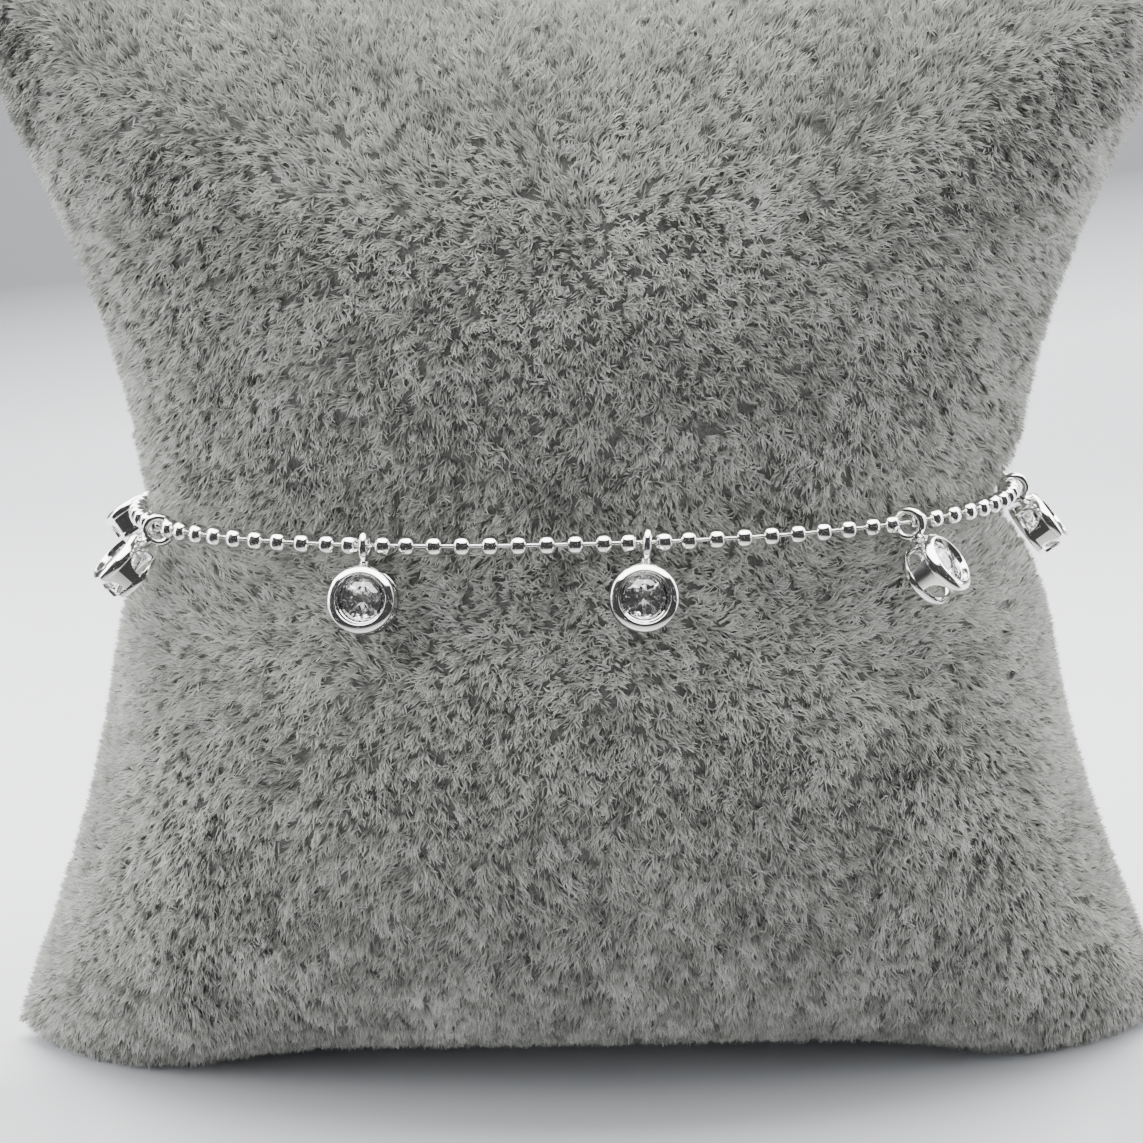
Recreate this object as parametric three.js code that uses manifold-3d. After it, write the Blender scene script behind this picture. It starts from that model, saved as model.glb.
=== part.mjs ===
// A silver bead-chain charm bracelet with bezel-set drops, worn round a small plush display pillow.
// Millimetres, +Z up. The front faces -Y and the pillow stands on z = 0.
import * as THREE from 'three';
import { mergeGeometries, mergeVertices } from 'three/addons/utils/BufferGeometryUtils.js';
import Module from 'manifold-3d';

const wasm = await Module();
wasm.setup();

// ---- Driving dimensions ----

// The bracelet is one closed loop. In plan it is a superellipse round the pillow's waist.
const loop = {
  halfWidth: 33.9,
  halfDepth: 23.5,
  squareness: 2.22, // 2 is an ellipse, and more is squarer
  height: 44.0, // at the middle of the front
  rise: 0.009, // how much higher it lies for each millimetre to the right
  backRise: 0.045, // and for each millimetre towards the back
  centreX: -1.1, // the loop lies a little left of the pillow's middle
};

const chain = {
  beads: 99, // places for beads round the whole loop, some of them taken by the clasp
  beadDiameter: 1.32,
  beadLength: 1.12,
  beadShoulder: 0.58, // length of the bead's full diameter
  barDiameter: 0.36,
  sides: 6,
  frontBead: 7, // bead number at the middle of the front, counted from bead 0 at its left
  joint: 0.3, // gap between one stretch and the next
  spread: 0.24, // each ring pushes the beads beside it this much further off
};

const setting = {
  radius: 2.27,
  depth: 2.55,
  crestRadius: 1.86, // front of the rim, with the lip sloping down to the stone inside it
  lipRadius: 1.53, // opening that shows the stone
  lipDepth: 0.45,
  lipThickness: 0.15,
  boreRadius: 1.82,
  faceFall: 0.22, // the rim's face slopes back by this much towards its edge
  windowRadius: 0.95, // each window is a half-round arch on two straight legs
  windowLeg: 0.3,
  sillHeight: 0.46, // height of the base ring below the windows
  windows: 4,
  sides: 14,
};

const hanger = {
  ringRadius: 0.95, // to the middle of the wire
  wireRadius: 0.28,
  toAxis: 3.65, // from the ring's centre to the axis of the setting
  behindRim: 1.1, // from the rim's front back to the ring's centre
  neck: { width: 0.56, height: 0.7, depth: 0.7 },
};

const stone = {
  radius: 1.69,
  tableRadius: 0.92,
  crown: 0.46,
  girdle: 0.1,
  pavilion: 1.4,
  belowRim: 0.18,
  sides: 12,
};

const clasp = { length: 8.9, height: 3, thickness: 1.3, bevel: 0.3 };

const pillow = {
  leftCorner: -47.4, // the foot of each side, on the floor
  rightCorner: 47.4,
  topSpread: 4, // the top corners are this much further out
  topCorner: 90.7,
  topDip: 6, // how far the top edge sags between its corners
  arch: 0.3, // rise of the bottom edge between its two feet
  foot: { at: 0.78, spread: 0.21, sink: 2.8 }, // where the weight presses the bottom edge flat, and how far
  tip: 2.3, // how far the lower corners turn up beyond the feet
  sideDip: 11, // how far each side pulls in between its corners
  taper: 1.22, // how quickly the waist widens to the full pillow, and more is quicker
  depth: 24.2,
  bellyDepth: 1.65, // the filling settles, so the lower half is this much deeper
  clearance: 1.0, // from the chain's centre line to the cloth behind it
  columns: 20,
  rows: 20,
};

// How tightly the chain pinches the pillow, as dents that fade over a height above or below it.
const pinches = [
  { at: 'side', deep: 0.75, above: 1.7, below: 3.2 },
  { at: 'side', deep: 1.9, above: 25, below: 5.4 },
  { at: 'front', deep: 1.9, above: 12, below: 9 },
];

// One row for each drop. Its ring hangs on the bar after a bead, with its centre this far along from the
// bar's middle, out from it and below it. Facing is the way its stone looks in plan, in degrees from the
// front and positive to the right. Lift is how far it looks up, and swing is how far it has swung round its
// own axis.
const drops = [
  { bead: -21, along: 0, out: 0.3, hang: 0.15, facing: -100, lift: 57, swing: -8 },
  { bead: -11, along: -0.08, out: 0.25, hang: 0.2, facing: -68, lift: 46, swing: -15 },
  { bead: -1, along: 0, out: 0.3, hang: 0, facing: -4, lift: 15, swing: -2 },
  { bead: 9, along: 0, out: 0.28, hang: 0, facing: 1, lift: 12, swing: -4 },
  { bead: 19, along: 0.18, out: 0.3, hang: 0.05, facing: 55, lift: 37, swing: 4 },
  { bead: 29, along: 0, out: 0.27, hang: 0.05, facing: 75, lift: 38, swing: 17 },
  { bead: 39, along: 0, out: 0.25, hang: 0.2, facing: 146, lift: 32, swing: 0 },
  { bead: 49, along: 0, out: 0.25, hang: 0.2, facing: 168, lift: 17, swing: 0 },
];
const dropSpacing = 10; // beads from one drop to the next
const claspBeads = 5; // places that the clasp takes, opposite the middle of the drops

const clear = 0.3; // gap kept between the drops and the cloth
const weldSize = 0.02; // corners closer than this after a cut are one corner

// ---- Materials ----

const silver = new THREE.MeshStandardMaterial({ color: 0xdcdcdc, metalness: 1, roughness: 0.12 });
const crystal = new THREE.MeshStandardMaterial({ color: 0xf2f5f7, metalness: 0, roughness: 0.02 });
const plush = new THREE.MeshStandardMaterial({ color: 0x8c8c86, metalness: 0, roughness: 0.95 });

// ---- Solids ----

function bare(geometry) {
  const copy = geometry.clone();
  for (const name of ['normal', 'uv']) copy.deleteAttribute(name);
  return mergeVertices(copy, 1e-4);
}

function toSolid(geometry, matrix) {
  const closed = bare(geometry);
  if (matrix) closed.applyMatrix4(matrix);
  const mesh = new wasm.Mesh({
    numProp: 3,
    vertProperties: new Float32Array(closed.attributes.position.array),
    triVerts: new Uint32Array(closed.index.array),
  });
  return new wasm.Manifold(mesh);
}

// A cut leaves some corners almost on top of each other, so those are welded and their slivers dropped.
function toGeometry(solid) {
  const mesh = solid.getMesh();
  const cut = new THREE.BufferGeometry();
  cut.setAttribute('position', new THREE.BufferAttribute(mesh.vertProperties, 3));
  cut.setIndex(new THREE.BufferAttribute(mesh.triVerts, 1));
  const welded = mergeVertices(cut, weldSize);
  const corners = welded.index.array;
  const kept = [];
  for (let i = 0; i < corners.length; i += 3) {
    const [a, b, c] = corners.slice(i, i + 3);
    if (a !== b && b !== c && c !== a) kept.push(a, b, c);
  }
  return welded.setIndex(kept);
}

function profile(rows) {
  return rows.map(([radius, height]) => new THREE.Vector2(radius, height));
}

// A lathe turned so that its axis is +Z.
function turned(rows, sides) {
  return new THREE.LatheGeometry(profile(rows), sides).rotateX(Math.PI / 2);
}

// ---- The loop's route ----

// Even steps of a parameter, with the length travelled so far, from the middle of the front to the right.
const routeSteps = 2880;
const route = { angle: [0], travelled: [0] };

function planPoint(angle) {
  const power = 2 / loop.squareness;
  const across = Math.sin(angle);
  const deep = Math.cos(angle);
  const x = loop.halfWidth * Math.sign(across) * Math.abs(across) ** power;
  const y = -loop.halfDepth * Math.sign(deep) * Math.abs(deep) ** power;
  const z = loop.height + loop.rise * x + loop.backRise * (y + loop.halfDepth);
  return new THREE.Vector3(x + loop.centreX, y, z);
}

for (let step = 1; step <= routeSteps; step++) {
  const angle = (2 * Math.PI * step) / routeSteps;
  const leg = planPoint(angle).distanceTo(planPoint(route.angle[step - 1]));
  route.angle.push(angle);
  route.travelled.push(route.travelled[step - 1] + leg);
}
const loopLength = route.travelled[routeSteps];
const pitch = loopLength / chain.beads;

function routePoint(length) {
  const wanted = ((length % loopLength) + loopLength) % loopLength;
  let low = 0;
  let high = routeSteps;
  while (high - low > 1) {
    const middle = (low + high) >> 1;
    if (route.travelled[middle] <= wanted) low = middle;
    else high = middle;
  }
  const share = (wanted - route.travelled[low]) / (route.travelled[high] - route.travelled[low]);
  return planPoint(route.angle[low] + share * (route.angle[high] - route.angle[low]));
}

// The place of a bead number, with +Y along the chain, +X outwards and +Z up across it.
function beadFrame(number) {
  const before = drops.some((drop) => drop.bead === number);
  const after = drops.some((drop) => drop.bead + 1 === number);
  const length = (number - chain.frontBead) * pitch + (after - before) * chain.spread;
  const along = routePoint(length + pitch / 2).sub(routePoint(length - pitch / 2)).normalize();
  const outward = new THREE.Vector3().crossVectors(along, new THREE.Vector3(0, 0, 1)).normalize();
  const up = new THREE.Vector3().crossVectors(outward, along);
  return new THREE.Matrix4().makeBasis(outward, along, up).setPosition(routePoint(length));
}

// ---- Chain ----

// A stretch is turned as one straight string of beads, then each bead is set on the route with its rings.
function stretch(first, count) {
  const bead = chain.beadDiameter / 2;
  const bar = chain.barDiameter / 2;
  const end = pitch / 2 - chain.joint / 2;
  const rings = [];
  rings.push({ number: 0, offset: -end, radius: 0 });
  rings.push({ number: 0, offset: -end, radius: bar });
  for (let number = 0; number < count; number++) {
    rings.push({ number, offset: -chain.beadLength / 2, radius: bar });
    rings.push({ number, offset: -chain.beadShoulder / 2, radius: bead });
    rings.push({ number, offset: chain.beadShoulder / 2, radius: bead });
    rings.push({ number, offset: chain.beadLength / 2, radius: bar });
  }
  rings.push({ number: count - 1, offset: end, radius: bar });
  rings.push({ number: count - 1, offset: end, radius: 0 });
  const points = rings.map((ring) => new THREE.Vector2(ring.radius, ring.number * pitch + ring.offset));
  const geometry = new THREE.LatheGeometry(points, chain.sides);
  const place = geometry.attributes.position;
  const vertex = new THREE.Vector3();
  const frames = Array.from({ length: count }, (_, number) => beadFrame(first + number));
  for (let i = 0; i < place.count; i++) {
    const ring = rings[i % rings.length];
    vertex.fromBufferAttribute(place, i);
    vertex.y = ring.offset;
    vertex.applyMatrix4(frames[ring.number]);
    place.setXYZ(i, vertex.x, vertex.y, vertex.z);
  }
  return bare(geometry);
}

// ---- Drops ----

// A drop's own frame has its hanging ring's centre at the origin, +X along the chain, +Y up to the chain
// and +Z the way the stone looks.
function dropFrame(drop) {
  const facing = THREE.MathUtils.degToRad(drop.facing);
  const lift = THREE.MathUtils.degToRad(drop.lift);
  const look = new THREE.Vector3(
    Math.sin(facing) * Math.cos(lift),
    -Math.cos(facing) * Math.cos(lift),
    Math.sin(lift),
  );
  const up = new THREE.Vector3(
    -Math.sin(facing) * Math.sin(lift),
    Math.cos(facing) * Math.sin(lift),
    Math.cos(lift),
  );
  up.applyAxisAngle(look, THREE.MathUtils.degToRad(drop.swing));
  const side = new THREE.Vector3().crossVectors(up, look);
  const bar = beadFrame(drop.bead + 0.5);
  const centre = new THREE.Vector3(drop.out, drop.along, 0).applyMatrix4(bar);
  centre.z -= drop.hang;
  return new THREE.Matrix4().makeBasis(side, up, look).setPosition(centre);
}

// Shapes of one drop, in its own frame with the setting's axis along Z.
const settingPlace = new THREE.Matrix4().makeTranslation(0, -hanger.toAxis, hanger.behindRim);

function cup() {
  const { radius, depth, crestRadius, lipRadius, lipDepth, lipThickness, boreRadius, faceFall } = setting;
  return turned([
    [crestRadius, 0],
    [lipRadius, -lipDepth],
    [boreRadius, -lipDepth - lipThickness],
    [boreRadius, -depth],
    [radius, -depth],
    [radius, -faceFall],
    [crestRadius, 0],
  ], setting.sides);
}

function windowCutter(turn) {
  const { radius, depth, windowRadius, windowLeg, sillHeight } = setting;
  const arch = new THREE.Shape();
  arch.moveTo(windowRadius, 0);
  arch.absarc(0, windowLeg, windowRadius, 0, Math.PI);
  arch.lineTo(-windowRadius, 0);
  arch.closePath();
  return new THREE.ExtrudeGeometry(arch, { depth: radius, bevelEnabled: false, curveSegments: 3 })
    .rotateX(Math.PI / 2)
    .translate(0, 1.4 * radius, sillHeight - depth)
    .rotateZ(turn);
}

function settingShape() {
  let solid = toSolid(cup(), settingPlace);
  for (let number = 0; number < setting.windows; number++) {
    const turn = (2 * Math.PI * (number + 0.5)) / setting.windows;
    solid = solid.subtract(toSolid(windowCutter(turn), settingPlace));
  }
  const ring = new THREE.TorusGeometry(hanger.ringRadius, hanger.wireRadius, 5, 9).rotateY(Math.PI / 2);
  const { width, height, depth } = hanger.neck;
  const wallTop = setting.radius - hanger.toAxis;
  const neck = new THREE.BoxGeometry(width, height, depth).translate(0, wallTop + height / 5, 0);
  return toGeometry(solid.add(toSolid(neck)).add(toSolid(ring)));
}

function stoneShape() {
  const { radius, tableRadius, crown, girdle, pavilion, belowRim, sides } = stone;
  return turned([
    [0, -belowRim - crown - girdle - pavilion],
    [radius, -belowRim - crown - girdle],
    [radius, -belowRim - crown],
    [tableRadius, -belowRim],
    [0, -belowRim],
  ], sides).applyMatrix4(settingPlace);
}

// Room for one drop in the cloth behind it, reaching out past its face.
function dropRoom() {
  const { radius, depth } = setting;
  const reach = 2 * radius;
  const cupRoom = new THREE.CylinderGeometry(radius + clear, radius + clear, depth + clear + reach, 12)
    .rotateX(Math.PI / 2)
    .translate(0, 0, (reach - depth - clear) / 2);
  const ringRadius = hanger.ringRadius + hanger.wireRadius + clear;
  const ringWidth = 2 * (hanger.wireRadius + clear);
  const ringRoom = new THREE.CylinderGeometry(ringRadius, ringRadius, ringWidth, 10).rotateZ(Math.PI / 2);
  return toSolid(cupRoom, settingPlace).add(toSolid(ringRoom));
}

// ---- Clasp ----

function claspShape() {
  const { length, height, thickness, bevel } = clasp;
  const end = height / 2 - bevel;
  const straight = (length - height) / 2;
  const outline = new THREE.Shape();
  outline.absarc(straight, 0, end, -Math.PI / 2, Math.PI / 2);
  outline.absarc(-straight, 0, end, Math.PI / 2, (3 * Math.PI) / 2);
  outline.closePath();
  const options = {
    depth: thickness - 2 * bevel,
    bevelThickness: bevel,
    bevelSize: bevel,
    bevelSegments: 1,
    curveSegments: 4,
  };
  return bare(new THREE.ExtrudeGeometry(outline, options).translate(0, 0, -thickness / 2 + bevel));
}

// ---- Pillow ----

function fade(rise, above, below) {
  return Math.exp(-((rise / (rise > 0 ? above : below)) ** 2));
}

function pinch(at, rise) {
  const dents = pinches.filter((dent) => dent.at === at);
  return dents.reduce((sum, dent) => sum + dent.deep * fade(rise, dent.above, dent.below), 0);
}

// Height of the bottom edge before the floor flattens it.
function bottomEdge(s) {
  const { at, spread, sink } = pillow.foot;
  const press = sink * Math.exp(-(((Math.abs(s) - at) / spread) ** 2));
  return pillow.arch * (1 - s * s) + pillow.tip * Math.abs(s) ** 12 - press;
}

// The cloth at s across and t up, each from -1 to 1, on the front or the back.
function clothPoint(s, t, front) {
  const edge = t > 0 ? pillow.topCorner - pillow.topDip * (1 - s * s) ** 1.3 : bottomEdge(s);
  const rise = Math.abs(t) * (edge - loop.height);
  const waist = (1 - t * t) ** pillow.taper;
  const corner = s > 0 ? pillow.rightCorner - loop.centreX : loop.centreX - pillow.leftCorner;
  const waistWidth = loop.halfWidth - pillow.clearance + pillow.sideDip + pinch('side', 0);
  const full = waistWidth + (corner - waistWidth + (t > 0 ? pillow.topSpread : 0)) * (1 - waist);
  const halfWidth = full - pillow.sideDip * waist - pinch('side', rise);
  const belly = pillow.depth + pillow.bellyDepth * (t < 0 ? Math.sin(Math.PI * t) ** 2 : 0);
  const waistDepth = loop.halfDepth - pillow.clearance + pinch('front', 0);
  const fullDepth = waistDepth + (belly - waistDepth) * (1 - waist);
  const halfDepth = fullDepth * (1 - Math.abs(t) ** 3.1) ** 0.5 - pinch('front', rise);
  const round = (1 - Math.abs(s) ** loop.squareness) ** (1 / loop.squareness);
  const depth = Math.max(halfDepth, 0) * round;
  const x = s * halfWidth;
  const y = front ? -depth : depth;
  const level = (loop.rise * x + loop.backRise * (y + loop.halfDepth)) * waist;
  const z = Math.max(loop.height + rise + level, 0);
  return new THREE.Vector3(x + loop.centreX, y, z);
}

function clothSide(front) {
  const sheet = new THREE.PlaneGeometry(2, 2, pillow.columns, pillow.rows);
  if (!front) sheet.rotateY(Math.PI);
  const place = sheet.attributes.position;
  for (let i = 0; i < place.count; i++) {
    const across = place.getX(i);
    const up = place.getY(i);
    const s = Math.abs(across) > 0.999 ? Math.sign(across) : Math.sin((Math.PI / 2) * across);
    const t = Math.sign(up) * Math.sin((Math.PI / 2) * Math.abs(up)) ** 1.4;
    const point = clothPoint(s, t, front);
    place.setXYZ(i, point.x, point.y, point.z);
  }
  return bare(sheet);
}

function pillowShape() {
  const cloth = mergeVertices(mergeGeometries([clothSide(true), clothSide(false)]), 1e-4);
  let solid = toSolid(cloth);
  const room = dropRoom();
  for (const drop of drops) solid = solid.subtract(room.transform(dropFrame(drop).elements));
  return toGeometry(solid);
}

// ---- Assembly ----

const group = new THREE.Group();

function add(name, geometry, material, matrix) {
  const mesh = new THREE.Mesh(geometry, material);
  mesh.name = name;
  if (matrix) mesh.applyMatrix4(matrix);
  group.add(mesh);
}

add('pillow', pillowShape(), plush);

const settingGeometry = settingShape();
const stoneGeometry = stoneShape();
drops.forEach((drop, index) => {
  const place = dropFrame(drop);
  add(`chain_${index + 1}`, stretch(drop.bead + 1 - dropSpacing / 2, dropSpacing), silver);
  add(`setting_${index + 1}`, settingGeometry, silver, place);
  add(`stone_${index + 1}`, stoneGeometry, crystal, place);
});

// The last beads run from the outer drops to the clasp, which lies opposite the middle of the drops.
const tailStart = drops.at(-1).bead + 1 + dropSpacing / 2;
const tailBeads = (chain.beads - drops.length * dropSpacing - claspBeads) / 2;
add('chain_9', stretch(tailStart, tailBeads), silver);
add('chain_10', stretch(tailStart + tailBeads + claspBeads, tailBeads), silver);

const claspMiddle = tailStart + tailBeads + (claspBeads - 1) / 2;
const flat = new THREE.Matrix4().makeBasis(
  new THREE.Vector3(0, 1, 0),
  new THREE.Vector3(0, 0, 1),
  new THREE.Vector3(1, 0, 0),
);
add('clasp', claspShape(), silver, beadFrame(claspMiddle).multiply(flat));

export default group;
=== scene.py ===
import math

import bpy
import numpy as np
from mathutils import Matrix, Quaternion, Vector


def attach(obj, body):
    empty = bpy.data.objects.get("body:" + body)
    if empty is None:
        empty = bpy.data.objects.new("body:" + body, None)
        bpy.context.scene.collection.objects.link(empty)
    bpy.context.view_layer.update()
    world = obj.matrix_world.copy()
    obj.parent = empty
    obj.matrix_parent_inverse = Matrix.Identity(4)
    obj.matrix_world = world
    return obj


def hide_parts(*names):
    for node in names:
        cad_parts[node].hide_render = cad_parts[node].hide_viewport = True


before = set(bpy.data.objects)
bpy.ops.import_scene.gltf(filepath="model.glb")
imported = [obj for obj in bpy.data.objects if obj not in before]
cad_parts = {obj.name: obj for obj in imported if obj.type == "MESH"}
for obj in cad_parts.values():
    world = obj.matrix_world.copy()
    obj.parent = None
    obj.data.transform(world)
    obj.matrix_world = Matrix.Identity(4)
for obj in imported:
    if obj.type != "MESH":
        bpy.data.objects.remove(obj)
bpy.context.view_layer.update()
scene = bpy.context.scene
mm = 0.001  # shapes are worked out in millimetres and set down in metres
print("frame loaded,", len(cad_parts), "solids")

# camera: straight in front, a little above the chain, a hair off level
cameraView = {"aim": (-1.38, 0.0, 38.5), "distance": 137.0, "elevation": 8.9, "roll": -0.93, "lens": 53.9}


def addObject(name, data):
    thing = bpy.data.objects.new(name, data)
    scene.collection.objects.link(thing)
    return thing


def placeCamera():
    lift = math.radians(cameraView["elevation"])
    back = Vector((0, -math.cos(lift), math.sin(lift)))
    camera = addObject("frontCamera", bpy.data.cameras.new("frontCamera"))
    camera.data.lens = cameraView["lens"]
    camera.data.sensor_width = 36
    camera.data.clip_start = 0.01
    camera.data.clip_end = 20
    camera.location = (Vector(cameraView["aim"]) + back * cameraView["distance"]) * mm
    turn = (-back).to_track_quat("-Z", "Y") @ Quaternion((0, 0, 1), math.radians(cameraView["roll"]))
    camera.rotation_euler = turn.to_euler()
    scene.camera = camera


placeCamera()
print("camera placed")


# small tools for meshes: a shape is a dictionary of points (millimetres), quads and triangles

def shape(points, quads=(), triangles=()):
    return {
        "points": np.asarray(points, float).reshape(-1, 3),
        "quads": np.asarray(quads, int).reshape(-1, 4),
        "triangles": np.asarray(triangles, int).reshape(-1, 3),
    }


def joined(shapes):
    points, quads, triangles, start = [], [], [], 0
    for part in shapes:
        points.append(part["points"])
        quads.append(part["quads"] + start)
        triangles.append(part["triangles"] + start)
        start += len(part["points"])
    return shape(np.concatenate(points), np.concatenate(quads), np.concatenate(triangles))


def moved(part, place):
    points = part["points"] @ place[:3, :3].T + place[:3, 3]
    return {**part, "points": points}


def place(xAxis, yAxis, zAxis, origin):
    matrix = np.eye(4)
    matrix[:3, 0], matrix[:3, 1], matrix[:3, 2], matrix[:3, 3] = xAxis, yAxis, zAxis, origin
    return matrix


def shift(x, y, z):
    matrix = np.eye(4)
    matrix[:3, 3] = x, y, z
    return matrix


def unit(vectors):
    vectors = np.asarray(vectors, float)
    return vectors / np.maximum(np.linalg.norm(vectors, axis=-1, keepdims=True), 1e-12)


def strips(rings, sides, loopAcross=False):
    # quads between rings of points, each ring closed on itself
    quads = []
    for ring in range(rings if loopAcross else rings - 1):
        a = ring * sides + np.arange(sides)
        b = ring * sides + (np.arange(sides) + 1) % sides
        up = ((ring + 1) % rings - ring) * sides
        quads.append(np.stack([a, b, b + up, a + up], -1))
    return np.concatenate(quads)


def fullTurn(sides):
    return np.arange(sides) * 2 * math.pi / sides


def turned(rows, sides, closed=False):
    # rows of (radius, height) turned round +Z, outside faces out when the rows run upwards
    rows = np.asarray(rows, float)
    angle = fullTurn(sides)
    radius, height = rows[:, :1], np.repeat(rows[:, 1:], sides, 1)
    points = np.stack([radius * np.cos(angle), radius * np.sin(angle), height], -1)
    return shape(points, strips(len(rows), sides, closed))


def tube(line, radius, sides, frames):
    # a round bar along a line of points, with the frames' first and third axes across it
    angle = fullTurn(sides)
    across, up = frames[:, None, :3, 0], frames[:, None, :3, 2]
    ring = across * np.cos(angle)[None, :, None] + up * np.sin(angle)[None, :, None]
    return shape(line[:, None] + radius * ring, strips(len(line), sides))


def makePiece(name, part, material, slotName, standsFor=(), sharp=35, smooth=True):
    mesh = bpy.data.meshes.new(name)
    quads, triangles = part["quads"], part["triangles"]
    corners = np.concatenate([quads.ravel(), triangles.ravel()]).astype(np.int32)
    starts = np.concatenate([np.arange(len(quads)) * 4, len(quads) * 4 + np.arange(len(triangles)) * 3])
    mesh.vertices.add(len(part["points"]))
    mesh.vertices.foreach_set("co", (part["points"] * mm).astype(np.float32).ravel())
    mesh.loops.add(len(corners))
    mesh.loops.foreach_set("vertex_index", corners)
    mesh.polygons.add(len(starts))
    mesh.polygons.foreach_set("loop_start", starts.astype(np.int32))
    mesh.update(calc_edges=True)
    if smooth:
        mesh.shade_smooth()
        mesh.set_sharp_from_angle(angle=math.radians(sharp))
    mesh.materials.append(material)
    piece = addObject(name, mesh)
    if slotName:
        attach(piece, "root")
    if standsFor:
        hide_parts(*standsFor)
    return piece


# small tools for materials

def feed(tree, node, values):
    # each input is linked where it is given a socket, and set otherwise
    for key, value in values.items():
        if isinstance(value, bpy.types.NodeSocket):
            tree.links.new(value, node.inputs[key])
        else:
            node.inputs[key].default_value = value


def put(tree, kind, inputs=None, **settings):
    node = tree.nodes.new(kind)
    for key, value in settings.items():
        setattr(node, key, value)
    feed(tree, node, inputs or {})
    return node


def sums(tree, operation, first, second):
    return put(tree, "ShaderNodeMath", {0: first, 1: second}, operation=operation).outputs[0]


def vectorSums(tree, operation, inputs, output=0):
    return put(tree, "ShaderNodeVectorMath", inputs, operation=operation).outputs[output]


def mixColour(tree, share, first, second):
    return put(tree, "ShaderNodeMix", {0: share, 6: first, 7: second}, data_type="RGBA").outputs[2]


def ramp(tree, value, low, high, toLow=0.0, toHigh=1.0):
    inputs = {"Value": value, "From Min": low, "From Max": high, "To Min": toLow, "To Max": toHigh}
    return put(tree, "ShaderNodeMapRange", inputs, clamp=True).outputs[0]


def bump(tree, strength, depth, height):
    # the depth is in millimetres
    inputs = {"Strength": strength, "Distance": depth * mm, "Height": height}
    return put(tree, "ShaderNodeBump", inputs).outputs["Normal"]


def effectGroup(name, inputs, outputs):
    group = bpy.data.node_groups.new(name, "ShaderNodeTree")
    for label, kind, value in inputs:
        socket = group.interface.new_socket(name=label, in_out="INPUT", socket_type=kind)
        socket.default_value = value
    for label, kind in outputs:
        group.interface.new_socket(name=label, in_out="OUTPUT", socket_type=kind)
    return group, group.nodes.new("NodeGroupInput").outputs, group.nodes.new("NodeGroupOutput")


def useGroup(tree, group, values):
    return put(tree, "ShaderNodeGroup", values, node_tree=group).outputs


def newMaterial(name):
    material = bpy.data.materials.new(name)
    material.use_nodes = True
    tree = material.node_tree
    return material, tree, tree.nodes["Principled BSDF"]


def millimetres(tree):
    # coordinates that stay with the part
    here = put(tree, "ShaderNodeTexCoord").outputs["Object"]
    return vectorSums(tree, "SCALE", {0: here, "Scale": 1000.0})


def noise(tree, where, scale, detail=2.0, roughness=0.5, stretch=None):
    if stretch:
        where = vectorSums(tree, "MULTIPLY", {0: where, 1: stretch})
    inputs = {"Vector": where, "Scale": scale, "Detail": detail, "Roughness": roughness}
    return put(tree, "ShaderNodeTexNoise", inputs).outputs["Fac"]


def cells(tree, where, scale):
    return put(tree, "ShaderNodeTexVoronoi", {"Vector": where, "Scale": scale}).outputs["Distance"]


# effects that several finishes share

floatKind, colourKind = "NodeSocketFloat", "NodeSocketColor"


def polishGroup():
    # tumbled silver: soft haze where it has been handled, and hairlines in two directions
    group, given, end = effectGroup(
        "tumbledPolish",
        [("Base", floatKind, 0.05), ("Haze", floatKind, 0.06), ("Hairlines", floatKind, 0.05),
         ("Bright", colourKind, (0.97, 0.965, 0.95, 1)), ("Hazed", colourKind, (0.88, 0.875, 0.86, 1))],
        [("Colour", colourKind), ("Roughness", floatKind), ("Height", floatKind)],
    )
    where = millimetres(group)
    cloud = ramp(group, noise(group, where, 0.9, 3.0, 0.6), 0.42, 0.7)
    lines = ramp(group, noise(group, where, 3.0, 2.0, 0.6, (1.0, 9.0, 2.0)), 0.55, 0.72)
    others = ramp(group, noise(group, where, 3.4, 2.0, 0.6, (8.0, 1.2, 2.0)), 0.57, 0.74)
    marks = sums(group, "MAXIMUM", lines, others)
    hazed = sums(group, "MULTIPLY", cloud, given["Haze"])
    marked = sums(group, "MULTIPLY", marks, given["Hairlines"])
    rough = sums(group, "ADD", sums(group, "ADD", given["Base"], hazed), marked)
    colour = mixColour(group, sums(group, "MULTIPLY", cloud, 0.6), given["Bright"], given["Hazed"])
    feed(group, end, {"Colour": colour, "Roughness": rough, "Height": sums(group, "MULTIPLY", marks, -1.0)})
    return group


def plushGroup():
    # pile colour: dark between the fibres, which is painted shade, pale at their tips, in soft patches
    group, given, end = effectGroup(
        "plushShade",
        [("Tone", floatKind, 0.6), ("DeepShade", colourKind, (0.02, 0.02, 0.02, 1)),
         ("Middle", colourKind, (0.12, 0.12, 0.11, 1)), ("Tip", colourKind, (0.3, 0.3, 0.29, 1)),
         ("Patches", floatKind, 0.12)],
        [("Colour", colourKind), ("Roughness", floatKind)],
    )
    where = millimetres(group)
    patch = ramp(group, noise(group, where, 0.14, 3.0, 0.55), 0.3, 0.7, -1.0, 1.0)
    tone = sums(group, "ADD", given["Tone"], sums(group, "MULTIPLY", patch, given["Patches"]))
    low = mixColour(group, ramp(group, tone, 0.0, 0.5), given["DeepShade"], given["Middle"])
    colour = mixColour(group, ramp(group, tone, 0.5, 1.0), low, given["Tip"])
    rough = ramp(group, noise(group, where, 6.0, 2.0, 0.6), 0.3, 0.7, 0.7, 0.92)
    feed(group, end, {"Colour": colour, "Roughness": rough})
    return group


tumbledPolish = polishGroup()
plushShade = plushGroup()


# finishes of the silver, the stones and the plush

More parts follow.
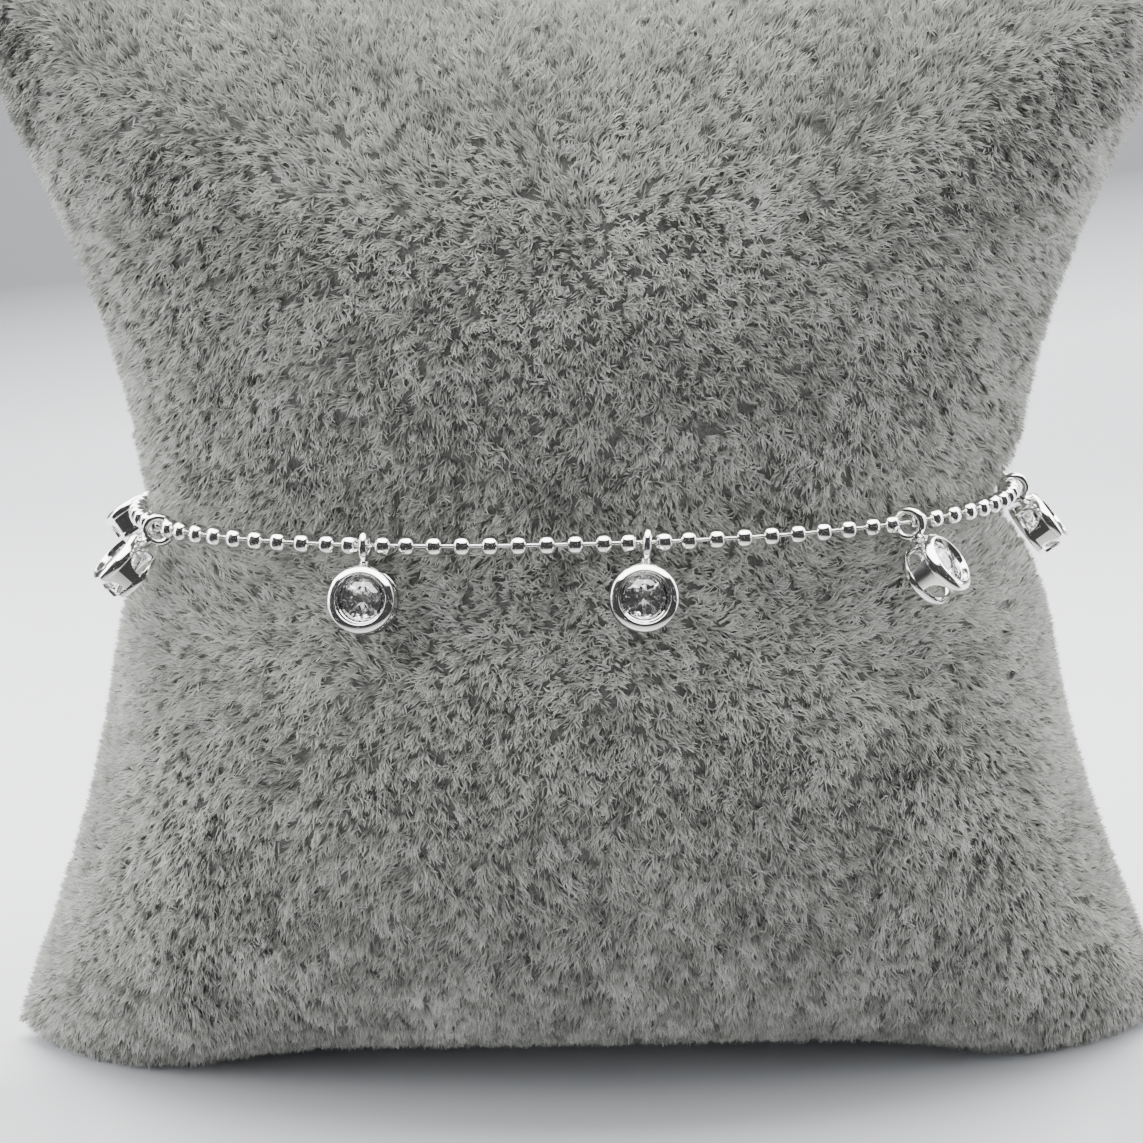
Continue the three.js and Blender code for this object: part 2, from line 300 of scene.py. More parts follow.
silverFinish = {
    "chain": {"Base": 0.06, "Haze": 0.05, "Hairlines": 0.03},
    "setting": {"Base": 0.035, "Haze": 0.05, "Hairlines": 0.05},
    "clasp": {"Base": 0.07, "Haze": 0.09, "Hairlines": 0.09},
}
stoneFinish = {
    "clear": (1.0, 1.0, 1.0, 1), "filmed": (0.95, 0.96, 0.985, 1), "filmRoughness": 0.02, "index": 2.15,
    "flawStrength": 0.45, "flawDepth": 0.06,
}
# the deep colour is painted shade between the fibres, and the backing colour is the knitted cloth darkened with painted
# shade
plushFinish = {
    "deep": (0.06, 0.06, 0.054, 1), "middle": (0.25, 0.25, 0.226, 1), "tip": (0.52, 0.52, 0.48, 1),
    "shadedBacking": (0.105, 0.105, 0.095, 1), "patches": 0.1, "specular": 0.25, "sheen": 0.25, "sheenRoughness": 0.5,
    "knitStrength": 0.8, "knitDepth": 0.3,
}


def silverMaterial(name, finish):
    material, tree, principled = newMaterial(name)
    polish = useGroup(tree, tumbledPolish, finish)
    feed(tree, principled, {
        "Metallic": 1.0,
        "Base Color": polish["Colour"],
        "Roughness": polish["Roughness"],
        "Normal": bump(tree, 0.25, 0.004, polish["Height"]),
    })
    return material


def stoneMaterial():
    material, tree, principled = newMaterial("clearStone")
    where = millimetres(tree)
    film = ramp(tree, noise(tree, where, 1.6, 3.0, 0.6), 0.45, 0.75)
    feed(tree, principled, {
        "Normal": bump(tree, stoneFinish["flawStrength"], stoneFinish["flawDepth"], cells(tree, where, 2.3)),
        "IOR": stoneFinish["index"],
        "Transmission Weight": 1.0,
        "Base Color": mixColour(tree, film, stoneFinish["clear"], stoneFinish["filmed"]),
        "Roughness": sums(tree, "MULTIPLY", film, stoneFinish["filmRoughness"]),
    })
    return material


def plushLook(tree, tone, middle, tip):
    colours = {"DeepShade": plushFinish["deep"], "Middle": plushFinish[middle], "Tip": plushFinish[tip]}
    return useGroup(tree, plushShade, {"Tone": tone, **colours, "Patches": plushFinish["patches"]})


def pileMaterial():
    material, tree, principled = newMaterial("plushPile")
    tone = put(tree, "ShaderNodeAttribute", attribute_name="tone").outputs["Fac"]
    shade = plushLook(tree, tone, "middle", "tip")
    feed(tree, principled, {
        "Base Color": shade["Colour"],
        "Roughness": shade["Roughness"],
        "Specular IOR Level": plushFinish["specular"],
        "Sheen Weight": plushFinish["sheen"],
        "Sheen Roughness": plushFinish["sheenRoughness"],
    })
    return material


def backingMaterial():
    # the knitted cloth that shows between the tufts, its dark colour painted shade; its streaks and bump are the knit
    material, tree, principled = newMaterial("shadedPlushBacking")
    where = millimetres(tree)
    streaks = noise(tree, where, 4.2, 4.0, 0.7, (1.0, 1.0, 0.5))
    knit = sums(tree, "MULTIPLY", noise(tree, where, 5.0), 0.4)
    shade = plushLook(tree, ramp(tree, sums(tree, "ADD", streaks, knit), 0.55, 0.88, 0.0, 0.5), "shadedBacking", "middle")
    feed(tree, principled, {
        "Base Color": shade["Colour"],
        "Roughness": shade["Roughness"],
        "Normal": bump(tree, plushFinish["knitStrength"], plushFinish["knitDepth"], streaks),
    })
    return material


chainSilver = silverMaterial("chainSilver", silverFinish["chain"])
settingSilver = silverMaterial("settingSilver", silverFinish["setting"])
claspSilver = silverMaterial("claspSilver", silverFinish["clasp"])
clearStone = stoneMaterial()
plushPile = pileMaterial()
shadedPlushBacking = backingMaterial()
print("materials made")


# studio, in metres: a pale floor that sweeps up into grey behind, softboxes, and screens for the silver to mirror

studio = {
    "floorHalfWidth": 1.5, "floorFront": -1.2, "sweepStart": 0.38, "sweepRadius": 0.25, "wallTop": 1.3,
    "floorColour": (0.63, 0.64, 0.66, 1), "cloudColour": (0.7, 0.71, 0.74, 1), "clouds": 0.05,
    "shadeColour": (0.105, 0.107, 0.112, 1), "shadeFrom": 0.028, "shadeTo": 0.09, "shadeTilt": 0.09,
    "world": (0.80, 0.83, 0.88, 1), "worldStrength": 0.5,
}

# name, where it stands, what it faces, size across and up, watts, colour
softboxes = [
    ("overhead", (0.0, 0.06, 0.62), (0, 0, 0.04), (0.75, 0.5), 12.0, (1, 1, 1)),
    ("leftSide", (-0.62, -0.10, 0.26), (0, 0, 0.05), (0.45, 0.5), 7.0, (0.98, 0.99, 1)),
    ("rightSide", (0.62, -0.06, 0.26), (0, 0, 0.05), (0.45, 0.5), 4.6, (0.98, 0.99, 1)),
    ("behind", (0.0, 0.30, 0.55), (0, 0.02, 0.08), (0.8, 0.3), 5.0, (1, 1, 1)),
]

# what the silver mirrors: a dark screen bent round the front and its foot, then a white sheet above it all
mirrored = {
    "screenRadius": 0.30, "screenTop": 0.285, "halfTurn": 82, "steps": 41, "screenColour": (0.016, 0.016, 0.016, 1),
    "footStart": 0.042, "footDark": 0.088, "footHeight": 0.002, "footColour": (0.55, 0.55, 0.54, 1),
    "sparks": 3.0, "sparkScale": 0.02,
    "sheetHalfWidth": 0.55, "sheetBack": 0.55, "sheetColour": (1.0, 1.0, 0.985, 1), "sheetStrength": 8.0,
}


def makeFloor():
    material, tree, principled = newMaterial("paleFloor")
    where = millimetres(tree)
    cloud = ramp(tree, noise(tree, where, 0.02), 0.3, 0.7)
    share = sums(tree, "MULTIPLY", cloud, studio["clouds"])
    tint = mixColour(tree, share, studio["floorColour"], studio["cloudColour"])
    axes = put(tree, "ShaderNodeSeparateXYZ", {"Vector": where}).outputs
    height = sums(tree, "SUBTRACT", axes["Z"], sums(tree, "MULTIPLY", axes["X"], studio["shadeTilt"]))
    shade = ramp(tree, height, studio["shadeFrom"] / mm, studio["shadeTo"] / mm)
    feed(tree, principled, {"Base Color": mixColour(tree, shade, tint, studio["shadeColour"]), "Roughness": 0.55})
    turn = np.linspace(0, math.pi / 2, 17)
    radius, start = studio["sweepRadius"], studio["sweepStart"]
    line = [(studio["floorFront"], 0.0), *zip(start + radius * np.sin(turn), radius - radius * np.cos(turn)),
            (start + radius, studio["wallTop"])]
    half = studio["floorHalfWidth"]
    points = [(side * half, y, z) for y, z in line for side in (-1, 1)]
    quads = [(2 * i, 2 * i + 1, 2 * i + 3, 2 * i + 2) for i in range(len(line) - 1)]
    floor = makePiece("paleSweep", shape(np.array(points) / mm, quads), material, None, sharp=40)


def makeLights():
    for name, stands, faces, size, watts, colour in softboxes:
        lamp = bpy.data.lights.new(name, "AREA")
        lamp.shape = "RECTANGLE"
        lamp.size, lamp.size_y = size
        lamp.energy = watts
        lamp.color = colour
        holder = addObject(name, lamp)
        holder.location = stands
        holder.rotation_euler = (Vector(faces) - Vector(stands)).to_track_quat("-Z", "Y").to_euler()
        holder.visible_camera = False
    world = bpy.data.worlds.new("studioAir")
    scene.world = world
    world.use_nodes = True
    air = {"Color": studio["world"], "Strength": studio["worldStrength"]}
    feed(world.node_tree, world.node_tree.nodes["Background"], air)


def screenMaterial():
    # black cloth that pales towards the inner end of its foot, with a few far lamps in it
    material, tree, principled = newMaterial("screenBlack")
    where = millimetres(tree)
    out = vectorSums(tree, "LENGTH", {0: vectorSums(tree, "MULTIPLY", {0: where, 1: (1, 1, 0)})}, "Value")
    pale = ramp(tree, out, mirrored["footStart"] / mm, mirrored["footDark"] / mm, 1.0, 0.0)
    spots = ramp(tree, cells(tree, where, mirrored["sparkScale"]), 0.12, 0.08)
    feed(tree, principled, {
        "Base Color": mixColour(tree, pale, mirrored["screenColour"], mirrored["footColour"]),
        "Emission Color": mixColour(tree, spots, (0, 0, 0, 1), (1, 1, 1, 1)),
        "Emission Strength": mirrored["sparks"],
        "Roughness": 0.9,
        "Specular IOR Level": 0.0,
    })
    return material


def sheetMaterial():
    material, tree, principled = newMaterial("sheetWhite")
    feed(tree, principled, {
        "Base Color": (0.8, 0.8, 0.8, 1),
        "Emission Color": mirrored["sheetColour"],
        "Emission Strength": mirrored["sheetStrength"],
    })
    return material


def makeMirrored():
    dark, white = screenMaterial(), sheetMaterial()
    steps, foot = mirrored["steps"], (0, 0, mirrored["footHeight"])
    turn = np.radians(np.linspace(-mirrored["halfTurn"], mirrored["halfTurn"], steps))
    rim = np.stack([np.sin(turn), -np.cos(turn), 0 * turn], -1)
    radius, top = mirrored["screenRadius"], mirrored["screenTop"]
    rows = [rim * mirrored["footStart"] + foot, rim * radius + foot, rim * radius + (0, 0, top)]
    quads = [(i, i + 1, i + steps + 1, i + steps) for row in (0, steps) for i in range(row, row + steps - 1)]
    screen = makePiece("darkScreen", shape(np.concatenate(rows) / mm, quads), dark, None, smooth=False)
    half, back = mirrored["sheetHalfWidth"], mirrored["sheetBack"]
    corners = np.array([(-half, -radius, top), (half, -radius, top), (half, back, top), (-half, back, top)])
    sheet = makePiece("whiteSheet", shape(corners / mm, [(0, 1, 2, 3)]), white, None, smooth=False)
    for piece in (screen, sheet):
        piece.visible_camera = piece.visible_diffuse = piece.visible_shadow = False


makeFloor()
makeLights()
makeMirrored()
print("studio lit")


# the loop that the chain follows

loop = {
    "halfWidth": 33.9, "halfDepth": 23.5, "squareness": 2.22, "height": 44.0, "rise": 0.009, "backRise": 0.045,
    "centreX": -1.1, "routeSteps": 2880,
}


def signedPower(values, power):
    return np.sign(values) * np.abs(values) ** power


def chainLevel(x, y):
    return loop["height"] + loop["rise"] * x + loop["backRise"] * (y + loop["halfDepth"])


def planPoint(angle):
    # angle 0 is the middle of the front and grows to the right
    power = 2 / loop["squareness"]
    x = loop["halfWidth"] * signedPower(np.sin(angle), power)
    y = -loop["halfDepth"] * signedPower(np.cos(angle), power)
    return np.stack([x + loop["centreX"], y, chainLevel(x, y)], -1)


routeAngle = np.linspace(0, 2 * math.pi, loop["routeSteps"] + 1)
routeLegs = np.linalg.norm(np.diff(planPoint(routeAngle), axis=0), axis=1)
routeTravelled = np.concatenate([[0], np.cumsum(routeLegs)])
loopLength = routeTravelled[-1]


def routePoint(length):
    return planPoint(np.interp(np.mod(length, loopLength), routeTravelled, routeAngle))


# the chain: drum beads on a thin bar

chain = {
    "places": 99, "beadDiameter": 1.42, "beadLength": 1.18, "drumminess": 2.7, "barDiameter": 0.27,
    "frontBead": 7, "spread": 0.24, "sides": 30, "barSides": 12, "endFace": 0.36, "endHollow": 0.05, "tailBar": 0.7,
}
pitch = loopLength / chain["places"]

# for each drop: the bead before its ring, how far the ring's centre lies along, out from and below the bar, the
# way the stone faces (from the front, right positive), its lift, and its swing
dropValues = ("bead", "along", "out", "hang", "facing", "lift", "swing")
drops = [dict(zip(dropValues, row)) for row in (
    (-21, 0, 0.3, 0.15, -100, 57, -8),
    (-11, -0.08, 0.25, 0.2, -68, 46, -15),
    (-1, 0, 0.3, 0, -4, 15, -2),
    (9, 0, 0.28, 0, 1, 12, -4),
    (19, 0.18, 0.3, 0.05, 55, 37, 4),
    (29, 0, 0.27, 0.05, 75, 38, 17),
    (39, 0, 0.25, 0.2, 146, 32, 0),
    (49, 0, 0.25, 0.2, 168, 17, 0),
)]
dropSpacing = 10
claspPlaces = 5


def beadPlace(number, extra=0.0):
    # outwards, along the chain, and up across it
    pushed = any(drop["bead"] + 1 == number for drop in drops) - any(drop["bead"] == number for drop in drops)
    length = (number - chain["frontBead"]) * pitch + pushed * chain["spread"] + extra
    along = unit(routePoint(length + pitch / 2) - routePoint(length - pitch / 2))
    outward = unit(np.cross(along, (0, 0, 1)))
    return place(outward, along, np.cross(outward, along), routePoint(length))


def drumBead():
    # a rounded drum with small flat ends, its axis along +Y
    half, radius = chain["beadLength"] / 2, chain["beadDiameter"] / 2
    power = 2 / chain["drumminess"]
    ends = [(chain["barDiameter"] / 2, half - chain["endHollow"]), (chain["endFace"] * 0.6, half - 0.004)]
    rows = [(reach, -height) for reach, height in ends]
    start = math.acos((chain["endFace"] / radius) ** (1 / power))
    for turn in np.linspace(-start, start, 15):
        rows.append((radius * math.cos(turn) ** power, half * math.copysign(abs(math.sin(turn)) ** power, turn)))
    bead = turned(rows + ends[::-1], chain["sides"])
    return {**bead, "points": np.roll(bead["points"], -1, axis=1)}


def chainStretch(first, count, reachBack=0.0, reachOn=0.0):
    places = [beadPlace(number) for number in range(first, first + count)]
    start, end = beadPlace(first, -pitch / 2 - reachBack), beadPlace(first + count - 1, pitch / 2 + reachOn)
    frames = np.array([start, *places, end])
    bar = tube(frames[:, :3, 3], chain["barDiameter"] / 2, chain["barSides"], frames)
    bead = drumBead()
    return joined([*(moved(bead, where) for where in places), bar])


# a stretch to each drop, then the two tails that run up to the clasp
tailStart = drops[-1]["bead"] + 1 + dropSpacing // 2
tailBeads = (chain["places"] - len(drops) * dropSpacing - claspPlaces) // 2
stretches = [chainStretch(drop["bead"] + 1 - dropSpacing // 2, dropSpacing) for drop in drops]
stretches.append(chainStretch(tailStart, tailBeads, reachOn=chain["tailBar"]))
stretches.append(chainStretch(tailStart + tailBeads + claspPlaces, tailBeads, reachBack=chain["tailBar"]))
for number, stretch in enumerate(stretches, 1):
    makePiece(f"beadChain{number}", stretch, chainSilver, "silver", [f"chain_{number}"], sharp=50)
print("chain strung")


# the drops: a bezel with arched windows, a soldered ring and a brilliant

bezel = {
    "radius": 2.27, "depth": 2.55, "crest": 1.76, "opening": 1.53, "lipDepth": 0.45, "bandDepth": 0.76,
    "wallRadius": 2.2, "wallInside": 1.92, "wallTop": 0.5, "wallFoot": 0.2,
    "windowRadius": 0.95, "windowLeg": 0.3, "sill": 0.46, "windows": 4, "sides": 72,
}
hanger = {
    "ringRadius": 0.95, "wireRadius": 0.28, "toAxis": 3.65, "behindRim": 1.1, "ringSteps": 48, "wireSides": 20,
    "neckSides": 28, "neckPower": 0.85,
}
brilliant = {
    "radius": 1.69, "table": 0.92, "star": 1.27, "lower": 0.4, "crown": 0.46, "girdle": 0.07, "scallop": 0.012,
    "pavilion": 1.42, "belowRim": 0.18,
}
onAxis = shift(0, -hanger["toAxis"], hanger["behindRim"])


def dropPlace(drop):
    facing, lift, swing = (math.radians(drop[key]) for key in ("facing", "lift", "swing"))
    look = np.array([math.sin(facing) * math.cos(lift), -math.cos(facing) * math.cos(lift), math.sin(lift)])
    up = np.array([-math.sin(facing) * math.sin(lift), math.cos(facing) * math.sin(lift), math.cos(lift)])
    up = up * math.cos(swing) + np.cross(look, up) * math.sin(swing)
    bar = beadPlace(drop["bead"] + 0.5)
    centre = bar[:3, 3] + drop["out"] * bar[:3, 0] + drop["along"] * bar[:3, 1] - np.array([0, 0, drop["hang"]])
    return place(np.cross(up, look), up, look, centre)


dropPlaces = [dropPlace(drop) for drop in drops]


def rimShape():
    # from the seat of the stone, up the lip to the crest, over the face, down the band, then back inside
    r, crest, opening = bezel["radius"], bezel["crest"], bezel["opening"]
    lip, band = bezel["lipDepth"], bezel["bandDepth"]
    rows = [
        (opening + 0.03, -lip - 0.07), (opening, -lip - 0.045), (opening - 0.008, -lip - 0.015),
        (opening + 0.006, -lip + 0.02), (opening + 0.03, -lip + 0.035), (opening + 0.05, -lip + 0.045),
        (crest - 0.07, -0.06), (crest - 0.05, -0.025), (crest - 0.025, -0.006), (crest, 0.0), (crest + 0.04, -0.004),
        (crest + 0.11, -0.023), (crest + 0.19, -0.06), (crest + 0.28, -0.112), (r - 0.145, -0.172), (r - 0.08, -0.23),
        (r - 0.035, -0.295), (r - 0.01, -0.37), (r, -0.46),
        (r, -band + 0.1), (r - 0.012, -band + 0.045), (r - 0.045, -band + 0.012), (r - 0.09, -band),
        (1.88, -band), (1.83, -band + 0.04), (1.82, -0.64), (1.79, -0.6), (1.7, -0.56),
    ]
    return turned(rows, bezel["sides"], closed=True)


def baseShape():
    r, low = bezel["radius"], -bezel["depth"]
    high = low + bezel["sill"]
    rows = [
        (1.89, high), (r - 0.07, high), (r - 0.02, high - 0.02), (r, high - 0.07),
        (r, low + 0.06), (r - 0.02, low + 0.015), (r - 0.07, low), (1.89, low),
        (1.83, low + 0.03), (1.81, low + 0.09), (1.81, high - 0.07), (1.83, high - 0.02),
    ]
    return turned(rows, bezel["sides"], closed=True)


def wallShape():
    # a quarter of the wall with its arched window, repeated round the axis
    quarter = math.pi / bezel["windows"]
    outer, inner = bezel["wallRadius"], bezel["wallInside"]
    halfWide = outer * quarter
    centre = bezel["sill"] - bezel["depth"] + bezel["windowLeg"]
    high, low = -bezel["wallTop"] - centre, -bezel["depth"] + bezel["wallFoot"] - centre
    wide, leg = bezel["windowRadius"], bezel["windowLeg"]
    corner, beside = math.atan2(leg, wide), np.array([-0.06, 0.0, 0.06])
    # directions from the middle of the window: its arch, its legs and corners, its sill and the quarter's corners
    turns = np.concatenate([
        np.linspace(0, math.pi, 25)[:-1],
        [math.pi, math.pi + 0.15], math.pi + corner + beside,
        np.linspace(math.pi + 0.6, 2 * math.pi - 0.6, 9),
        2 * math.pi - corner + beside, [2 * math.pi - 0.15],
        np.arctan2([high, high], [halfWide, -halfWide]), 2 * math.pi + np.arctan2([low, low], [halfWide, -halfWide]),
    ])
    turns = np.unique(np.round(turns, 6))
    cosine, sine = np.cos(turns), np.sin(turns)
    side = np.maximum(np.abs(cosine), 1e-9)
    opening = np.where(sine >= 0, wide, np.minimum(wide / side, leg / np.maximum(-sine, 1e-9)))
    edge = np.minimum(halfWide / side, np.where(sine >= 0, high, low) / np.where(np.abs(sine) < 1e-9, 1e-9, sine))
    edge = np.where(np.abs(sine) < 1e-6, halfWide, edge)
    # share of the way out to the quarter's edge, growth of the opening, and radius of the wall
    rings = [
        (1, 0, outer), (0.5, 0, outer), (0, 0.12, outer), (0, 0.06, outer), (0, 0.02, outer - 0.015),
        (0, 0, outer - 0.05), (0, 0, inner + 0.05), (0, 0.02, inner + 0.015), (0, 0.06, inner), (1, 0, inner),
    ]
    points = []
    for share, growth, radius in rings:
        reach = opening + growth + share * (edge - opening - growth)
        turn, z = reach * cosine / outer, centre + reach * sine
        points.append(np.stack([radius * np.sin(turn), radius * np.cos(turn), z], -1))
    piece = shape(points, strips(len(rings), len(turns)))
    parts = []
    for number in range(bezel["windows"]):
        turn = 2 * math.pi * (number + 0.5) / bezel["windows"]
        c, s = math.cos(turn), math.sin(turn)
        parts.append(moved(piece, place((c, s, 0), (-s, c, 0), (0, 0, 1), (0, 0, 0))))
    return joined(parts)


def ringShape():
    # the hanging ring, its axis along the chain
    major, minor = hanger["ringRadius"], hanger["wireRadius"]
    around, sides = hanger["ringSteps"], hanger["wireSides"]
    a, b = fullTurn(around)[:, None], fullTurn(sides)[None, :]
    reach = major + minor * np.cos(b)
    points = np.stack([minor * np.sin(b) + 0 * a, reach * np.cos(a), reach * np.sin(a)], -1)
    return shape(points, strips(around, sides, True))


def neckShape():
    # solder between the rim and the ring: height above the rim's edge, half width, half depth, middle of its depth
    rows = [(-0.30, 0.80, 0.62, 0.18), (-0.12, 0.60, 0.60, 0.16), (-0.02, 0.49, 0.56, 0.13), (0.05, 0.40, 0.50, 0.10),
            (0.10, 0.35, 0.44, 0.07), (0.14, 0.36, 0.43, 0.05), (0.18, 0.325, 0.40, 0.03), (0.34, 0.315, 0.36, 0.0),
            (0.50, 0.30, 0.31, 0.0), (0.62, 0.24, 0.24, 0.0)]
    edge, sides = bezel["radius"] - hanger["toAxis"], hanger["neckSides"]
    turn = fullTurn(sides)
    c, s = signedPower(np.cos(turn), hanger["neckPower"]), signedPower(np.sin(turn), hanger["neckPower"])
    points = [np.stack([wide * c, np.full(sides, edge + up), middle - deep * s], -1) for up, wide, deep, middle in rows]
    return shape(points, strips(len(rows), sides))


def brilliantShape():
    # table, stars, kites, upper halves, girdle, lower halves and mains of a round brilliant
    radius, table = brilliant["radius"], brilliant["table"]
    top = -brilliant["belowRim"]
    girdleTop = top - brilliant["crown"]
    girdleLow = girdleTop - brilliant["girdle"]
    culet = girdleLow - brilliant["pavilion"]
    star, lower, scallop, eighth = brilliant["star"], brilliant["lower"], brilliant["scallop"], math.pi / 4
    share = (star * math.cos(eighth / 2) - table) / (radius - table)
    starHeight = top + share * (girdleTop - top)
    lowerHeight = girdleLow + (1 - lower * math.cos(eighth / 2) / radius) * (culet - girdleLow)
    # distance from the axis, height, and share of a facet that the row is turned by
    rows = [(table, top, 0), (star, starHeight, 0.5), (radius, girdleTop, 0), (radius, girdleTop - scallop, 0.5),
            (radius, girdleLow, 0), (radius, girdleLow + scallop, 0.5), (lower, lowerHeight, 0.5)]
    points = []
    for reach, height, share in rows:
        turn = np.arange(8) * eighth + share * eighth
        points += zip(reach * np.cos(turn), reach * np.sin(turn), [height] * 8)
    points += [(0, 0, top), (0, 0, culet)]
    tableAt, starAt, upperAt, upperHalf, lowAt, lowHalf, mainAt, middle = (8 * k for k in range(8))
    tip = middle + 1
    quads, triangles = [], []
    for k in range(8):
        n, p = (k + 1) % 8, (k - 1) % 8
        triangles += [
            (middle, tableAt + k, tableAt + n), (tableAt + k, starAt + k, tableAt + n),
            (starAt + k, upperAt + k, upperHalf + k), (starAt + k, upperHalf + k, upperAt + n),
            (mainAt + k, lowHalf + k, lowAt + k), (mainAt + k, lowAt + n, lowHalf + k),
        ]
        quads += [
            (tableAt + k, starAt + p, upperAt + k, starAt + k), (upperAt + k, lowAt + k, lowHalf + k, upperHalf + k),
            (upperHalf + k, lowHalf + k, lowAt + n, upperAt + n), (tip, mainAt + k, lowAt + k, mainAt + p),
        ]
    return shape(points, quads, triangles)


cupShapes = [moved(part, onAxis) for part in (rimShape(), baseShape(), wallShape())]
settingShape = joined([*cupShapes, ringShape(), neckShape()])
stoneShape = moved(brilliantShape(), onAxis)
for number, where in enumerate(dropPlaces, 1):
    setting, stone = moved(settingShape, where), moved(stoneShape, where)
    makePiece(f"bezelDrop{number}", setting, settingSilver, "silver", [f"setting_{number}"])
    makePiece(f"brilliant{number}", stone, clearStone, "crystal", [f"stone_{number}"], smooth=False)
print("drops hung,", len(settingShape["points"]), "points each")


# the clasp: one plain rounded tag with a collar at each end

clasp = {"length": 8.9, "height": 3.0, "thickness": 1.3, "edge": 0.42, "collar": 0.42, "endSteps": 25}


def claspShape():
    end, half = clasp["height"] / 2, clasp["thickness"] / 2
    straight = clasp["length"] / 2 - end
    steps = clasp["endSteps"]
    around = 2 * steps
    turn = np.concatenate([np.linspace(-90, 90, steps), np.linspace(90, 270, steps)]) * math.pi / 180
    middle = np.where(np.arange(around) < steps, straight, -straight)
    rings = [(end - 0.02, -half)]
    for lean in np.linspace(-90, 90, 13) * math.pi / 180:
        rings.append((clasp["edge"] * (1 - math.cos(lean)), half * math.copysign(abs(math.sin(lean)) ** 0.75, lean)))
    rings.append((end - 0.02, half))
    points = [np.stack([middle + (end - inset) * np.cos(turn), (end - inset) * np.sin(turn), np.full(around, z)], -1)
              for inset, z in rings]
    quads = list(strips(len(rings), around))
    last = (len(rings) - 1) * around
    for i in range(steps - 1):
        far = around - 1 - i
        quads += [(i, far, far - 1, i + 1), (last + i, last + i + 1, last + far - 1, last + far)]
    tag = shape(points, quads)
    c = clasp["collar"]
    rows = [(0.1, -0.35), (c - 0.06, -0.35), (c, -0.28), (c, 0.22), (c - 0.08, 0.3), (0.1, 0.3)]
    collar = turned(rows, 32)
    spun = {**collar, "points": np.roll(collar["points"], 1, axis=1)}
    ends = [moved(spun, shift(side * clasp["length"] / 2, 0, 0)) for side in (-1, 1)]
    return joined([tag, *ends])


claspMiddle = tailStart + tailBeads + (claspPlaces - 1) / 2
flatOn = place((0, 1, 0), (0, 0, 1), (1, 0, 0), (0, 0, 0))
claspPiece = moved(claspShape(), beadPlace(claspMiddle) @ flatOn)
makePiece("claspTag", claspPiece, claspSilver, "silver", ["clasp"])
print("clasp closed")


# the pillow: its cloth, then the pile that stands on it

pillow = {
    "leftCorner": -48.2, "rightCorner": 48.0, "topSpread": 3.2, "topCorner": 90.7, "topDip": 6, "arch": 0.3,
    "footAt": 0.78, "footSpread": 0.21, "footSink": 2.8, "tip": 2.3, "sideDip": 11, "taper": 1.22,
    "depth": 24.2, "bellyDepth": 1.65, "edgeFall": 3.1, "clearance": 1.0, "pileDepth": 0.75, "clothFoot": 0.3,
    "columns": 88, "rows": 96,
}
# how each cup presses the cloth in: how far behind it, how fast the dent rises outside the cup, and its reach
cupDent = {"behind": 0.55, "slope": 0.25, "flatTo": 2.2, "across": 5.5, "ahead": 6}
pinches = [
    {"at": "side", "deep": 0.75, "above": 1.7, "below": 3.2},
    {"at": "side", "deep": 1.9, "above": 25, "below": 5.4},
    {"at": "right", "deep": 1.15, "above": 2.8, "below": 4.2},
    {"at": "front", "deep": 1.9, "above": 12, "below": 9},
]


def pinch(at, rise):
    total = 0.0
    for dent in pinches:
        if dent["at"] == at:
            reach = np.where(rise > 0, dent["above"], dent["below"])
            total = total + dent["deep"] * np.exp(-((rise / reach) ** 2))
    return total


def sidePinch(s, rise):
    # the right side stands a little fuller over and under the chain than the left
    return pinch("side", rise) + pinch("right", rise) * np.clip(s, 0, 1)


def bottomEdge(s):
    press = pillow["footSink"] * np.exp(-(((np.abs(s) - pillow["footAt"]) / pillow["footSpread"]) ** 2))
    return pillow["arch"] * (1 - s * s) + pillow["tip"] * np.abs(s) ** 12 - press


def clothPoint(s, t, side):
    # s runs from left to right, t from the bottom edge up, and side is -1 in front and 1 behind
    edge = np.where(t > 0, pillow["topCorner"] - pillow["topDip"] * (1 - s * s) ** 1.3, bottomEdge(s))
    rise = np.abs(t) * (edge - loop["height"])
    waist = (1 - t * t) ** pillow["taper"]
    corner = np.where(s > 0, pillow["rightCorner"] - loop["centreX"], loop["centreX"] - pillow["leftCorner"])
    waistWidth = loop["halfWidth"] - pillow["clearance"] + pillow["sideDip"] + sidePinch(s, 0)
    full = waistWidth + (corner - waistWidth + np.where(t > 0, pillow["topSpread"], 0)) * (1 - waist)
    halfWidth = full - pillow["sideDip"] * waist - sidePinch(s, rise)
    belly = pillow["depth"] + pillow["bellyDepth"] * np.where(t < 0, np.sin(math.pi * t) ** 2, 0)
    waistDepth = loop["halfDepth"] - pillow["clearance"] + pinch("front", 0)
    fullDepth = waistDepth + (belly - waistDepth) * (1 - waist)
    halfDepth = fullDepth * (1 - np.abs(t) ** pillow["edgeFall"]) ** 0.5 - pinch("front", rise)
    roundness = (1 - np.abs(s) ** loop["squareness"]) ** (1 / loop["squareness"])
    x = s * halfWidth
    y = side * np.maximum(halfDepth, 0) * roundness
    level = (loop["rise"] * x + loop["backRise"] * (y + loop["halfDepth"])) * waist
    return np.stack([x + loop["centreX"], y, np.maximum(loop["height"] + rise + level, 0)], -1)


